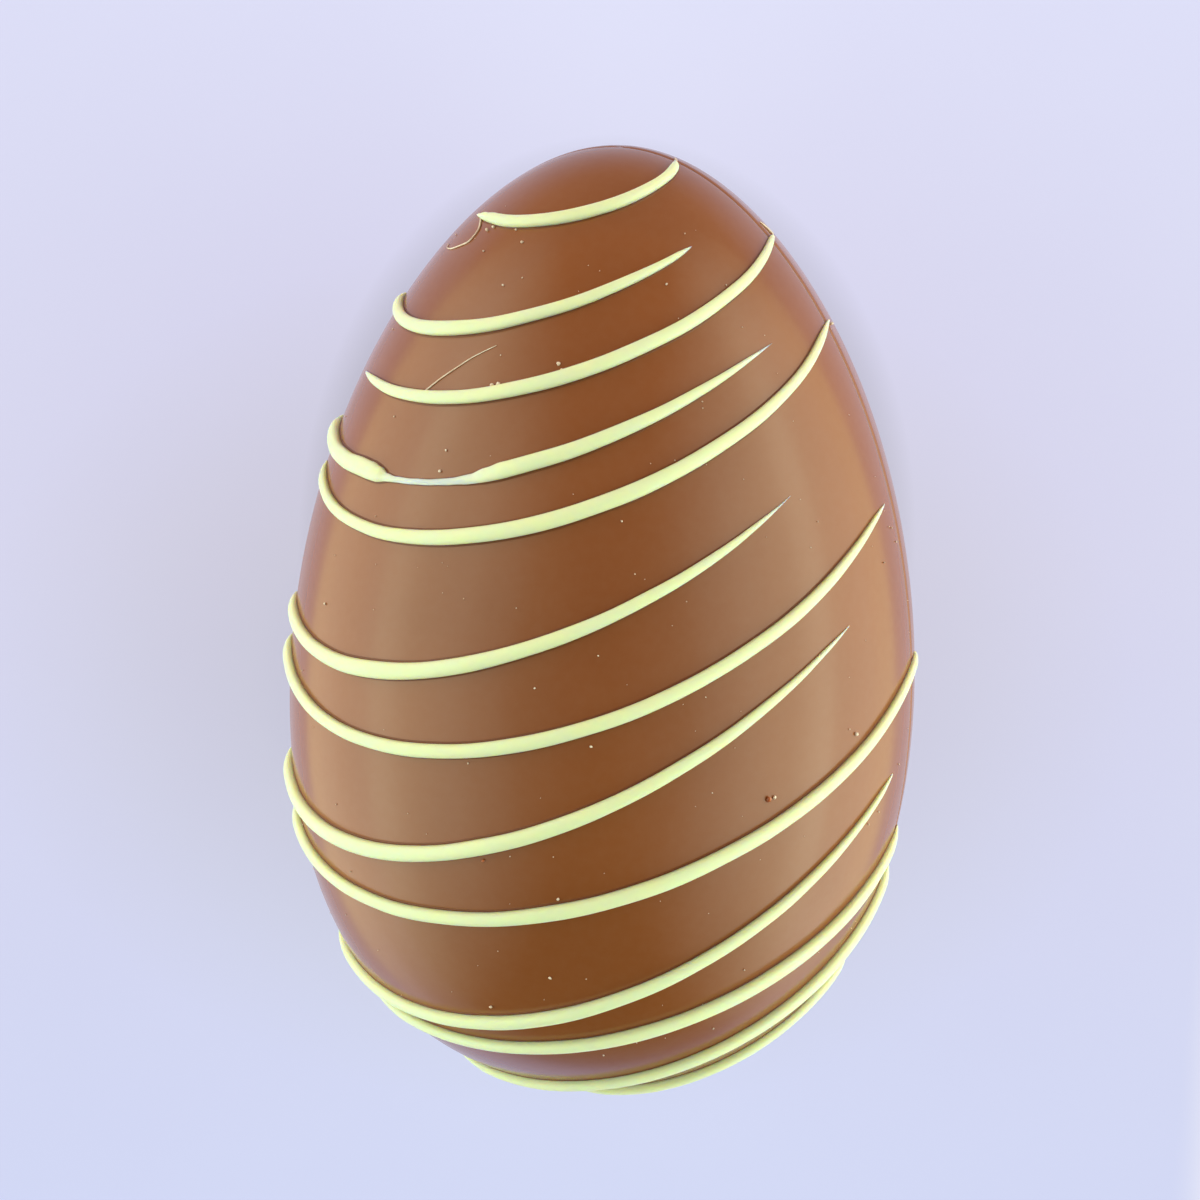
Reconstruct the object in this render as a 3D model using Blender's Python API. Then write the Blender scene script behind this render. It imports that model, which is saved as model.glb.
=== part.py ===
"""A moulded chocolate egg with ivory chocolate strands piped across it, lying on its side.

Two moulded halves meet at a seam that runs from pole to pole. Thirteen half-round strands
lie on the shell. Each strand follows the line in which a slanted plane cuts the egg.

Frame: metres, +Z up and +Y towards the pointed end. The origin is in the middle of the small
flat spot that the egg rests on.
"""
import math
from collections import namedtuple

import bmesh
import bpy
from mathutils import Matrix, Vector

MM = 0.001

# The egg
EGG_LENGTH = 150.0 * MM
ROUND_RADIUS = 48.8 * MM                  # radius halfway between the poles
EGG_TAPER = (-0.145, 0.052, -0.061)       # how the radius changes towards the pointed end
SEAM_ROLL = math.radians(11.4)            # the seam's right side lies this far above level
SEAM_GAP = 0.3 * MM                       # between the two halves
REST_CUT = 0.4 * MM                       # depth of the flat spot below the round shell

# The strands
BEAD_HEIGHT = 0.54                        # height of a strand over its width
SEAT_GAP = 0.3 * MM                       # between a strand and the shell
TIP_WIDTH = 0.14                          # width of a tip, as a share of the strand's
LEAST_WIDTH = 0.3 * MM                    # no tip is finer than this
TIP_ROUNDNESS = 0.8

# Fineness of the faceted solids
SHELL_RINGS = 30
HALF_RING_STEPS = 24
STRAND_STEP = math.radians(5.5)
ARCH_STEPS = 5
END_CROWDING = 0.4                        # how much closer the stations are at a strand's ends

# A strand's plane crosses the egg's axis at `along`. It rises towards the pointed end by
# `side_slope` for each step to the right (+X) and by `up_slope` for each step up (+Z).
# The strand runs from the angle `start` to the angle `end`, counted round the egg's axis from
# the top towards the right. `widths` are its widths at seven even steps along the way, and
# it rounds off over the lengths `tips` at its two ends. The pull at an end drags the last
# bit along the egg by `drags`. Lengths are in millimetres and angles in degrees.
Strand = namedtuple("Strand", "along side_slope up_slope start end widths tips drags")

STRANDS = (
    Strand(71.5, 0.272, -0.160, -80, 76,
           (1.50, 1.90, 2.06, 1.98, 1.68, 1.48, 0.80), (5, 5), (-0.8, 0.0)),
    Strand(62.3, 0.371, -0.155, -94, 28.5,
           (1.90, 1.95, 2.30, 2.08, 1.82, 1.45, 0.75), (6, 4), (0.0, 0.0)),
    Strand(55.6, 0.356, -0.215, -82, 86,
           (0.95, 1.84, 2.20, 2.17, 1.88, 1.42, 0.80), (10, 5), (-1.6, -1.1)),
    Strand(45.8, 0.388, -0.200, -96, 45,
           (2.40, 2.35, 2.40, 2.60, 2.18, 1.42, 0.40), (7, 8), (0.0, -0.6)),
    Strand(40.95, 0.366, -0.283, -88, 84,
           (1.70, 1.82, 2.30, 2.43, 2.03, 1.52, 0.95), (8, 12), (0.0, -1.9)),
    Strand(26.2, 0.463, -0.298, -89.5, 39,
           (2.10, 2.25, 2.60, 2.40, 2.05, 1.52, 0.30), (8, 8), (-0.8, -0.2)),
    Strand(14.8, 0.375, -0.365, -90.5, 72,
           (2.20, 2.06, 2.11, 2.23, 2.10, 1.75, 0.60), (7, 6), (-0.8, -2.1)),
    Strand(1.35, 0.511, -0.359, -92, 50.5,
           (2.60, 2.60, 2.52, 2.46, 2.20, 1.60, 0.40), (8, 6), (0.0, -1.0)),
    Strand(-14.5, 0.339, -0.355, -89, 86,
           (2.30, 2.14, 2.20, 2.42, 2.32, 1.96, 1.30), (8, 8), (0.0, -3.3)),
    Strand(-30.9, 0.509, -0.455, -90, 67,
           (2.20, 2.30, 2.45, 2.45, 2.20, 1.85, 0.75), (10, 6), (0.0, -1.4)),
    Strand(-42.3, 0.340, -0.400, -76, 80,
           (1.60, 2.10, 2.20, 2.38, 2.52, 2.42, 1.70), (14, 8), (0.0, 0.0)),
    Strand(-57.0, 0.450, -0.450, -73, 87,
           (1.20, 1.90, 2.33, 2.30, 2.50, 2.55, 2.00), (10, 6), (0.0, 0.0)),
    Strand(-69.0, 0.480, -0.420, -20, 83,
           (1.80, 2.10, 2.30, 2.55, 2.45, 2.20, 1.90), (8, 4), (0.0, 0.0)),
)
DRAG_REACH = 28                           # degrees from an end

# Where a strand leaves its even line. Around the given angle (degrees), and fading out over
# the spread on either side, its width grows by the share `gain` and it drifts towards the
# pointed end by `drift` (millimetres). The fourth strand swells into a drop and is then
# smeared thin.
Swell = namedtuple("Swell", "angle spread gain drift")

STRAND_SWELLS = {
    3: (Swell(-68, 14, 0.15, 1.0), Swell(-46, 8, -0.66, 0.2), Swell(-34, 7, -0.50, -0.3)),
}

MILK_CHOCOLATE = (0.235, 0.098, 0.045, 1.0)
IVORY_CHOCOLATE = (0.80, 0.80, 0.44, 1.0)


def clear_scene():
    """Start from an empty scene."""
    for item in list(bpy.data.objects):
        bpy.data.objects.remove(item, do_unlink=True)


def make_material(name, colour, roughness):
    """A plain glossy food material."""
    material = bpy.data.materials.new(name)
    material.use_nodes = True
    shader = material.node_tree.nodes["Principled BSDF"]
    shader.inputs["Base Color"].default_value = colour
    shader.inputs["Roughness"].default_value = roughness
    shader.inputs["Metallic"].default_value = 0.0
    material.diffuse_color = colour
    return material


# ---- The egg's round shape -------------------------------------------------------------

def egg_radius(y):
    """Radius of the round section at y along the axis, counted from halfway."""
    u = max(-1.0, min(1.0, y / (EGG_LENGTH / 2)))
    first, second, third = EGG_TAPER
    taper = 1 + first * u + second * u ** 2 + third * u ** 3
    return ROUND_RADIUS * math.sqrt(1 - u * u) * taper


def egg_slope(y):
    """How fast the radius changes along the axis."""
    step = 0.05 * MM
    return (egg_radius(y + step) - egg_radius(y - step)) / (2 * step)


def shell_point(angle, y):
    """The point on the shell at an angle round the axis, 0 at the top and 90 degrees at +X."""
    radius = egg_radius(y)
    return Vector((radius * math.sin(angle), y, radius * math.cos(angle)))


def shell_normal(angle, y):
    """The direction straight out of the shell."""
    return Vector((math.sin(angle), -egg_slope(y), math.cos(angle))).normalized()


def samples_along_axis(count=2000):
    """Evenly spaced places along the axis, just inside the poles."""
    return [EGG_LENGTH * ((i + 0.5) / count - 0.5) for i in range(count)]


def centre_of_mass():
    """Where the solid egg balances on its axis."""
    places = samples_along_axis()
    sections = [egg_radius(y) ** 2 for y in places]
    return sum(y * area for y, area in zip(places, sections)) / sum(sections)


def rest_matrix():
    """Lay the egg down: it settles on the point of its side nearest to its centre of mass."""
    balance = centre_of_mass()
    contact = min(samples_along_axis(), key=lambda y: math.hypot(y - balance, egg_radius(y)))
    dip = Matrix.Rotation(math.atan(egg_slope(contact)), 4, "X")
    touching = dip @ shell_point(math.pi, contact)
    lift = Matrix.Translation((0.0, -touching.y, -touching.z - REST_CUT))
    return lift @ dip


# ---- The two moulded halves ------------------------------------------------------------

def half_ring(bm, y, middle):
    """One row of corners round a half, from seam face to seam face."""
    half_gap = SEAM_GAP / 2
    reach = math.pi / 2 - math.asin(half_gap / egg_radius(y))
    corners = []
    for i in range(HALF_RING_STEPS + 1):
        angle = middle + reach * (2 * i / HALF_RING_STEPS - 1)
        corners.append(bm.verts.new(shell_point(angle, y)))
    return corners


def half_pole(bm, y, middle):
    """The last corner of a half, on its seam face at the pole."""
    half_gap = SEAM_GAP / 2
    return bm.verts.new((half_gap * math.sin(middle), y, half_gap * math.cos(middle)))


def half_shell(middle):
    """A closed half egg: rows of corners from the blunt pole to the pointed one."""
    bm = bmesh.new()
    rings = []
    for i in range(1, SHELL_RINGS):
        y = -EGG_LENGTH / 2 * math.cos(math.pi * i / SHELL_RINGS)
        rings.append(half_ring(bm, y, middle))
    for lower, upper in zip(rings, rings[1:]):
        for i in range(HALF_RING_STEPS):
            bm.faces.new((lower[i], lower[i + 1], upper[i + 1], upper[i]))
        bm.faces.new((lower[-1], lower[0], upper[0], upper[-1]))
    for ring, y in ((rings[0], -EGG_LENGTH / 2), (rings[-1], EGG_LENGTH / 2)):
        pole = half_pole(bm, y, middle)
        for i in range(HALF_RING_STEPS):
            bm.faces.new((ring[i], ring[i + 1], pole))
        bm.faces.new((ring[-1], ring[0], pole))
    return bm


def cut_rest_spot(bm):
    """Cut away what lies below the floor and close the cut with one flat face."""
    everything = bm.verts[:] + bm.edges[:] + bm.faces[:]
    bmesh.ops.bisect_plane(bm, geom=everything, plane_co=(0, 0, 0), plane_no=(0, 0, -1),
                           clear_outer=True)
    rim = [edge for edge in bm.edges if edge.is_boundary]
    for edge in rim:
        for corner in edge.verts:
            corner.co.z = 0.0
    bmesh.ops.contextual_create(bm, geom=rim)


# ---- The piped strands -----------------------------------------------------------------

def plane_meets_shell(strand, angle):
    """Where the strand's plane meets the shell at this angle: the place along the axis."""
    rise = strand.side_slope * math.sin(angle) + strand.up_slope * math.cos(angle)
    inside = 0.0
    outside = 2 * ROUND_RADIUS
    for _ in range(40):
        middle = (inside + outside) / 2
        if middle < egg_radius(strand.along * MM + middle * rise):
            inside = middle
        else:
            outside = middle
    return strand.along * MM + inside * rise


def strand_angles(strand):
    """Stations along a strand, closer together near its two ends."""
    start = math.radians(strand.start)
    sweep = math.radians(strand.end) - start
    count = round(sweep / STRAND_STEP)
    angles = []
    for i in range(count + 1):
        share = i / count
        eased = share - END_CROWDING * math.sin(2 * math.pi * share) / (2 * math.pi)
        angles.append(start + sweep * eased)
    return angles


def tip_share(distance, length):
    """A strand's width near an end, from a fine tip at 0 to the full width at `length`."""
    share = min(distance / length, 1.0)
    return TIP_WIDTH + (1 - TIP_WIDTH) * math.sin(share * math.pi / 2) ** TIP_ROUNDNESS


def width_at(widths, share):
    """The width at this share of the way, on a smooth curve through the even widths."""
    place = share * (len(widths) - 1)
    i = min(int(place), len(widths) - 2)
    t = place - i
    before, after = widths[max(i - 1, 0)], widths[min(i + 2, len(widths) - 1)]
    left, right = widths[i], widths[i + 1]
    bend = 2 * before - 5 * left + 4 * right - after
    twist = 3 * left - before - 3 * right + after
    return left + 0.5 * ((right - before) * t + bend * t * t + twist * t ** 3)


def end_drag(strand, angle):
    """How far the pull at the two ends drags the line along the egg, in millimetres."""
    degrees = math.degrees(angle)
    to_start = max(0.0, 1 - (degrees - strand.start) / DRAG_REACH)
    to_end = max(0.0, 1 - (strand.end - degrees) / DRAG_REACH)
    return strand.drags[0] * to_start ** 3 + strand.drags[1] * to_end ** 3


def swell_strength(swell, angle):
    """1 in the middle of a swell, fading to 0 beyond its spread."""
    offset = (math.degrees(angle) - swell.angle) / swell.spread
    return math.exp(-offset ** 2)


def strand_mesh(strand, swells):
    """A half-round bead swept along the strand's line."""
    angles = strand_angles(strand)
    places = []
    for angle in angles:
        drift = sum(swell.drift * swell_strength(swell, angle) for swell in swells)
        drift += end_drag(strand, angle)
        places.append(plane_meets_shell(strand, angle) + drift * MM)
    points = [shell_point(angle, y) for angle, y in zip(angles, places)]
    run = [0.0]
    for before, after in zip(points, points[1:]):
        run.append(run[-1] + (after - before).length)

    bm = bmesh.new()
    sections = []
    for i, point in enumerate(points):
        normal = shell_normal(angles[i], places[i])
        ahead = points[min(i + 1, len(points) - 1)] - points[max(i - 1, 0)]
        across = ahead.cross(normal).normalized()
        gain = sum(swell.gain * swell_strength(swell, angles[i]) for swell in swells)
        share = (angles[i] - angles[0]) / (angles[-1] - angles[0])
        width = width_at(strand.widths, share) * MM * (1 + gain)
        width *= tip_share(run[i], strand.tips[0] * MM)
        width *= tip_share(run[-1] - run[i], strand.tips[1] * MM)
        width = max(width, LEAST_WIDTH)
        section = []
        for k in range(ARCH_STEPS + 1):
            turn = math.pi * k / ARCH_STEPS
            lift = SEAT_GAP + BEAD_HEIGHT * width * math.sin(turn)
            side = width / 2 * math.cos(turn)
            section.append(bm.verts.new(point + normal * lift + across * side))
        sections.append(section)
    for before, after in zip(sections, sections[1:]):
        for k in range(ARCH_STEPS + 1):
            following = (k + 1) % (ARCH_STEPS + 1)
            bm.faces.new((before[k], before[following], after[following], after[k]))
    bm.faces.new(sections[0])
    bm.faces.new(sections[-1])
    return bm


# ---- Building --------------------------------------------------------------------------

def add_object(name, bm, material):
    """Turn a finished shape into a named object with its material."""
    bmesh.ops.recalc_face_normals(bm, faces=bm.faces[:])
    mesh = bpy.data.meshes.new(name)
    bm.to_mesh(mesh)
    bm.free()
    mesh.materials.append(material)
    mesh.shade_smooth()
    mesh.set_sharp_from_angle(angle=math.radians(50))
    bpy.context.scene.collection.objects.link(bpy.data.objects.new(name, mesh))


def build_egg():
    """The two halves and the strands, laid down as they rest."""
    clear_scene()
    milk = make_material("milk_chocolate", MILK_CHOCOLATE, 0.32)
    ivory = make_material("ivory_chocolate", IVORY_CHOCOLATE, 0.40)
    rest = rest_matrix()

    top = half_shell(-SEAM_ROLL)
    bmesh.ops.transform(top, matrix=rest, verts=top.verts[:])
    add_object("half_top", top, milk)

    bottom = half_shell(math.pi - SEAM_ROLL)
    bmesh.ops.transform(bottom, matrix=rest, verts=bottom.verts[:])
    cut_rest_spot(bottom)
    add_object("half_bottom", bottom, milk)

    for number, strand in enumerate(STRANDS):
        bead = strand_mesh(strand, STRAND_SWELLS.get(number, ()))
        bmesh.ops.transform(bead, matrix=rest, verts=bead.verts[:])
        add_object(f"strand_{number + 1:02d}", bead, ivory)


build_egg()
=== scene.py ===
# %% [markdown]
# # A chocolate egg with piped strands
#
# An egg like this is usually a hollow shell of milk chocolate. It is cast in a mould as two
# halves, which are joined along a seam that runs from pole to pole. Strands of ivory
# chocolate are then piped across it by hand. The model's halves are solid, because nothing
# shows the inside.
#
# The CAD model already has the two halves and the thirteen strands in their true places.
# This lesson makes what the eye sees: fine shells with a soft-lipped seam, beads that cling
# to them, threads, rims and crumbs, and a finish for each of them.

import math
import random
from collections import namedtuple

import bmesh
import bpy
from mathutils import Matrix, Vector, noise


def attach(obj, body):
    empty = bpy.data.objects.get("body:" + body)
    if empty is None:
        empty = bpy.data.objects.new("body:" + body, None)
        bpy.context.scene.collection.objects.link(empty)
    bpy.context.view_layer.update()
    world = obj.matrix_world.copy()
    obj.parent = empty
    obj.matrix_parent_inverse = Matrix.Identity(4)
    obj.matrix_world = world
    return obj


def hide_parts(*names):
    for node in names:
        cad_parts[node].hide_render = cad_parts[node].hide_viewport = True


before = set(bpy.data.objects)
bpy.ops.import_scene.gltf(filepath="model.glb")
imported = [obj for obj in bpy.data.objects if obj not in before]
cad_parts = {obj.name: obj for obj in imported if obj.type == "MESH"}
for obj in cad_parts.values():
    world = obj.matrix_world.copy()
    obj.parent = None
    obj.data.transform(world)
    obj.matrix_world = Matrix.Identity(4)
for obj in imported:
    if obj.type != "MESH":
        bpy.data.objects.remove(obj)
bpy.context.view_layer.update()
print("CAD nodes:", ", ".join(sorted(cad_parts)))

# %% [markdown]
# ## The egg's outline
#
# An egg is a round form: every section across its long axis is a circle. So one function
# says everything: how large the circle is at each place along the axis. A plain ellipse
# would do for a lemon. An egg is blunter at one end, and three small taper numbers do that.

# %% How wide the egg is along its axis
MM = 0.001
EGG_LENGTH = 150.0 * MM
ROUND_RADIUS = 48.8 * MM                  # halfway between the poles
EGG_TAPER = (-0.145, 0.052, -0.061)       # how the radius changes towards the pointed end


def egg_radius(y):
    """Radius of the round section at y along the axis, counted from halfway."""
    u = max(-1.0, min(1.0, y / (EGG_LENGTH / 2)))
    first, second, third = EGG_TAPER
    taper = 1 + first * u + second * u ** 2 + third * u ** 3
    return ROUND_RADIUS * math.sqrt(1 - u * u) * taper


def egg_slope(y):
    """How fast the radius changes along the axis."""
    step = 0.05 * MM
    return (egg_radius(y + step) - egg_radius(y - step)) / (2 * step)


widest = max(range(-75, 76), key=lambda y: egg_radius(y * MM))
print(f"widest {abs(widest)} mm from halfway, {egg_radius(widest * MM) * 2 / MM:.1f} mm across")

# %% [markdown]
# ## Points on the shell
#
# A place on the egg is easiest to name as a baker would: so far round, and so far along.
# Angles count round the axis from the top towards the right (+X). Lifting a point along the
# surface's own normal puts things on the shell, or sinks them into it.

# %% A place on the shell, and its outward direction


def shell_normal(angle, y):
    """The direction straight out of the shell."""
    return Vector((math.sin(angle), -egg_slope(y), math.cos(angle))).normalized()


def shell_point(angle, y, lift=0.0):
    """The point at this angle and place along the axis, lifted off the shell."""
    radius = egg_radius(y)
    point = Vector((radius * math.sin(angle), y, radius * math.cos(angle)))
    return point + shell_normal(angle, y) * lift if lift else point


# %% [markdown]
# ## How it lies
#
# The egg lies on its side. It touches the table at the point of its side that is nearest to
# its centre of mass, so its blunt end rides a little high. A flat spot 0.4 mm deep keeps it
# from rolling. The same sum as in the CAD source gives the same pose, and the height of the
# upper half is a good test of it.

# %% Turn and lift the egg as it rests
REST_CUT = 0.4 * MM                       # depth of the flat spot below the round shell
SLICES = 2000                             # thin slices that are summed for the centre of mass


def rest_matrix():
    """The turn and the lift that lay the egg down."""
    places = [EGG_LENGTH * ((i + 0.5) / SLICES - 0.5) for i in range(SLICES)]
    sections = [egg_radius(y) ** 2 for y in places]
    balance = sum(y * area for y, area in zip(places, sections)) / sum(sections)
    contact = min(places, key=lambda y: math.hypot(y - balance, egg_radius(y)))
    dip = Matrix.Rotation(math.atan(egg_slope(contact)), 4, "X")
    touching = dip @ shell_point(math.pi, contact)
    return Matrix.Translation((0.0, -touching.y, -touching.z - REST_CUT)) @ dip


AT_REST = rest_matrix()
EGG_CENTRE = AT_REST @ Vector((0, 0, 0))

# %% [markdown]
# ## A helper that adds a piece
#
# Every piece is shaped in the egg's own frame, with the axis level, and laid down at the
# end.

# %% Add a finished shape to the egg


def add_piece(name, bm, replaced=()):
    bmesh.ops.transform(bm, matrix=AT_REST, verts=bm.verts[:])
    bmesh.ops.recalc_face_normals(bm, faces=bm.faces[:])
    mesh = bpy.data.meshes.new(name)
    bm.to_mesh(mesh)
    bm.free()
    mesh.shade_smooth()
    piece = bpy.data.objects.new(name, mesh)
    bpy.context.scene.collection.objects.link(piece)
    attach(piece, "root")
    if replaced:
        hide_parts(*replaced)
    print(f"{name}: {len(mesh.polygons)} faces")
    return piece


# %% [markdown]
# ## The two moulded halves
#
# Each half is a solid with its own flat seam face. A ready-made sphere has its rows in the
# wrong places for a seam, so the rows are laid one by one: rings along the axis, and columns
# that crowd together beside the seam. There the edge of a moulded half is never sharp. It
# rolls in over about a millimetre, and two such lips make the fine dark line of the seam.
# A very low swell over the whole face keeps the reflections from being too perfect.

# %% Lips and swells of the shell
SEAM_ROLL = math.radians(11.4)            # the seam's right side lies this far above level
SEAM_GAP = 0.14 * MM                      # between the faces of the two halves
LIP_WIDTH = 1.10 * MM
LIP_DEPTH = 0.50 * MM
DEEPEST_LIP = 0.3                         # of the radius, so the lips stay apart at the poles
SWELL_HEIGHT = 0.035 * MM
SHELL_INSET = 0.06 * MM                   # keeps the fine shell inside the faceted solid's box
SWELL_LENGTH = 26.0 * MM


def lip_sink(distance):
    """How far the shell rolls in at this distance from the seam face."""
    share = max(0.0, 1 - distance / LIP_WIDTH)
    return -LIP_DEPTH * (1 - math.sqrt(1 - share ** 2))


def shell_swell(point):
    """A low, broad unevenness, never above the true shell."""
    return SWELL_HEIGHT * (noise.noise(point / SWELL_LENGTH) - 1) / 2


# %% Rows and columns of a half
SHELL_RINGS = 170
HALF_COLUMNS = 110
LIP_STEPS = (0.0, 0.06, 0.14, 0.25, 0.40, 0.62, 0.88, 1.1)    # millimetres from the seam face
WIDEST_STEP = 0.04                        # of a half's reach, where the egg gets narrow


def column_angles(radius):
    """Angles from the middle of a half to one seam face, crowded at the lip."""
    reach = math.pi / 2 - math.asin(min(SEAM_GAP / 2 / radius, 1.0))
    closest = [min(step * MM / radius, reach * WIDEST_STEP * i)
               for i, step in enumerate(LIP_STEPS)]
    inner = reach - closest[-1]
    count = HALF_COLUMNS // 2 - len(LIP_STEPS)
    even = [inner * i / count for i in range(count)]
    return reach, even + [reach - step for step in reversed(closest)]


def half_ring(bm, y, middle):
    """One row of corners round a half, from seam face to seam face."""
    radius = egg_radius(y)
    reach, half = column_angles(radius)
    corners = []
    for offset in [-angle for angle in reversed(half[1:])] + half:
        angle = middle + offset
        sink = lip_sink((reach - abs(offset)) * radius)
        sink = max(sink, -DEEPEST_LIP * radius)
        sink += shell_swell(shell_point(angle, y)) - SHELL_INSET
        corners.append(bm.verts.new(shell_point(angle, y, sink)))
    return corners


def half_shell(middle):
    """A closed half egg, ring by ring from the blunt pole to the pointed one."""
    bm = bmesh.new()
    rings = []
    for i in range(1, SHELL_RINGS):
        y = -EGG_LENGTH / 2 * math.cos(math.pi * i / SHELL_RINGS)
        rings.append(half_ring(bm, y, middle))
    for lower, upper in zip(rings, rings[1:]):
        for i in range(len(lower) - 1):
            bm.faces.new((lower[i], lower[i + 1], upper[i + 1], upper[i]))
        bm.faces.new((lower[-1], lower[0], upper[0], upper[-1]))
    for ring, y in ((rings[0], -EGG_LENGTH / 2), (rings[-1], EGG_LENGTH / 2)):
        inward = -math.copysign(SHELL_INSET, y)
        tip = (SEAM_GAP / 2 * math.sin(middle), y + inward, SEAM_GAP / 2 * math.cos(middle))
        pole = bm.verts.new(tip)
        for i in range(len(ring) - 1):
            bm.faces.new((ring[i], ring[i + 1], pole))
        bm.faces.new((ring[-1], ring[0], pole))
    return bm


def press_rest_spot(piece):
    """Flatten what lies below the table, as the weight of the egg does."""
    for corner in piece.data.vertices:
        corner.co.z = max(corner.co.z, 0.0)


upper_shell = add_piece("upper_shell", half_shell(-SEAM_ROLL), ["half_top"])
lower_shell = add_piece(
    "lower_shell", half_shell(math.pi - SEAM_ROLL), ["half_bottom"])
press_rest_spot(lower_shell)

# %% [markdown]
# ## Where the strands run
#
# A hand that swings a piping cone to and fro over an egg lays lines that look like slices:
# each lies nearly in one plane. So a strand needs only a plane and two ends. The plane
# crosses the axis at `along`. It rises towards the pointed end by `side_slope` for each step
# to the right and by `up_slope` for each step up. The strand runs from the angle `start` to
# the angle `end`. `widths` are its widths at seven even steps, `tips` are the lengths over
# which its ends narrow, and `drags` are how far the pull at its ends moves the line.
#
# The table repeats the CAD model's values, because the strands must lie where the solids
# lie. The planes were found by fitting one plane to each strand. So they follow no rule, and
# nothing ties one strand's numbers to the next.

# %% The table of strands
Strand = namedtuple("Strand", "along side_slope up_slope start end widths tips drags")

STRANDS = (
    Strand(71.5, 0.272, -0.160, -80, 76,
           (1.50, 1.90, 2.06, 1.98, 1.68, 1.48, 0.80), (5, 5), (-0.8, 0.0)),
    Strand(62.3, 0.371, -0.155, -94, 28.5,
           (1.90, 1.95, 2.30, 2.08, 1.82, 1.45, 0.75), (6, 4), (0.0, 0.0)),
    Strand(55.6, 0.356, -0.215, -82, 86,
           (0.95, 1.84, 2.20, 2.17, 1.88, 1.42, 0.80), (10, 5), (-1.6, -1.1)),
    Strand(45.8, 0.388, -0.200, -96, 45,
           (2.40, 2.35, 2.40, 2.60, 2.18, 1.42, 0.40), (7, 8), (0.0, -0.6)),
    Strand(40.95, 0.366, -0.283, -88, 84,
           (1.70, 1.82, 2.30, 2.43, 2.03, 1.52, 0.95), (8, 12), (0.0, -1.9)),
    Strand(26.2, 0.463, -0.298, -89.5, 39,
           (2.10, 2.25, 2.60, 2.40, 2.05, 1.52, 0.30), (8, 8), (-0.8, -0.2)),
    Strand(14.8, 0.375, -0.365, -90.5, 72,
           (2.20, 2.06, 2.11, 2.23, 2.10, 1.75, 0.60), (7, 6), (-0.8, -2.1)),
    Strand(1.35, 0.511, -0.359, -92, 50.5,
           (2.60, 2.60, 2.52, 2.46, 2.20, 1.60, 0.40), (8, 6), (0.0, -1.0)),
    Strand(-14.5, 0.339, -0.355, -89, 86,
           (2.30, 2.14, 2.20, 2.42, 2.32, 1.96, 1.30), (8, 8), (0.0, -3.3)),
    Strand(-30.9, 0.509, -0.455, -90, 67,
           (2.20, 2.30, 2.45, 2.45, 2.20, 1.85, 0.75), (10, 6), (0.0, -1.4)),
    Strand(-42.3, 0.340, -0.400, -76, 80,
           (1.60, 2.10, 2.20, 2.38, 2.52, 2.42, 1.70), (14, 8), (0.0, 0.0)),
    Strand(-57.0, 0.450, -0.450, -73, 87,
           (1.20, 1.90, 2.33, 2.30, 2.50, 2.55, 2.00), (10, 6), (0.0, 0.0)),
    Strand(-69.0, 0.480, -0.420, -20, 83,
           (1.80, 2.10, 2.30, 2.55, 2.45, 2.20, 1.90), (8, 4), (0.0, 0.0)),
)
DRAG_REACH = 28                           # degrees from an end

# %% Where a strand's plane meets the shell
HALVINGS = 40                             # each halves the stretch in which they meet


def plane_meets_shell(strand, angle):
    """Where the strand's plane meets the shell at this angle: the place along the axis."""
    rise = strand.side_slope * math.sin(angle) + strand.up_slope * math.cos(angle)
    inside = 0.0
    outside = 2 * ROUND_RADIUS
    for _ in range(HALVINGS):
        middle = (inside + outside) / 2
        if middle < egg_radius(strand.along * MM + middle * rise):
            inside = middle
        else:
            outside = middle
    return strand.along * MM + inside * rise


# %% [markdown]
# ## The section of a strand
#
# Soft chocolate that is laid on a smooth face makes a bead. It is round on top, widest a
# little above the shell, and its foot turns in again. That small undercut matters: it adds
# to the thin dark line on both sides of every strand. A half circle would lose it. The foot
# is sunk a hair into the shell, so no light passes under the bead.

# %% Corners of one bead section
BEAD_HEIGHT = 0.54                        # height over width
BEAD_SEAT = 0.12 * MM                     # added height, less than the CAD strands' gap
BELLY = 0.36                              # where the bead is widest, as a share of its height
FOOT_WIDTH = 0.90                         # width of the foot over the full width
FOOT_SINK = 0.15 * MM
ANKLE_WIDTH = 0.965                       # width between foot and belly, over the full width
ANKLE_HEIGHT = 0.35                       # how high that is, as a share of the belly's height
ARCH_STEPS = 18


def bead_section(width, height):
    """Sideways and upward places of the corners, from one foot over the top to the other."""
    belly = BELLY * height
    foot = FOOT_WIDTH * width / 2
    ankle = ANKLE_WIDTH * width / 2
    corners = [(foot, -FOOT_SINK), (ankle, ANKLE_HEIGHT * belly)]
    for i in range(ARCH_STEPS + 1):
        turn = math.pi * i / ARCH_STEPS
        corners.append((width / 2 * math.cos(turn), belly + (height - belly) * math.sin(turn)))
    corners += [(-ankle, ANKLE_HEIGHT * belly), (-foot, -FOOT_SINK)]
    return corners


print("a 2.4 mm bead stands", round(2.4 * BEAD_HEIGHT + BEAD_SEAT / MM, 2), "mm proud")

# %% [markdown]
# ## How a strand swells and thins
#
# A strand narrows to a rounded tip at both ends. Between them its width follows its seven
# steps on a smooth curve. No hand is that even, so the width also breathes by a few
# hundredths, and the line wavers.
#
# Some strands have a story of their own. On the fourth one the cone stopped, left a drop,
# and was dragged on almost empty before it flowed again. The first and the last one start
# narrow. Knots along the strand tell that story: at an angle, how wide, how high, how far
# off the line and how thin the bead is.

# %% Knots for the strands that leave their even line
Knot = namedtuple("Knot", "angle width height drift thin")

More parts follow.
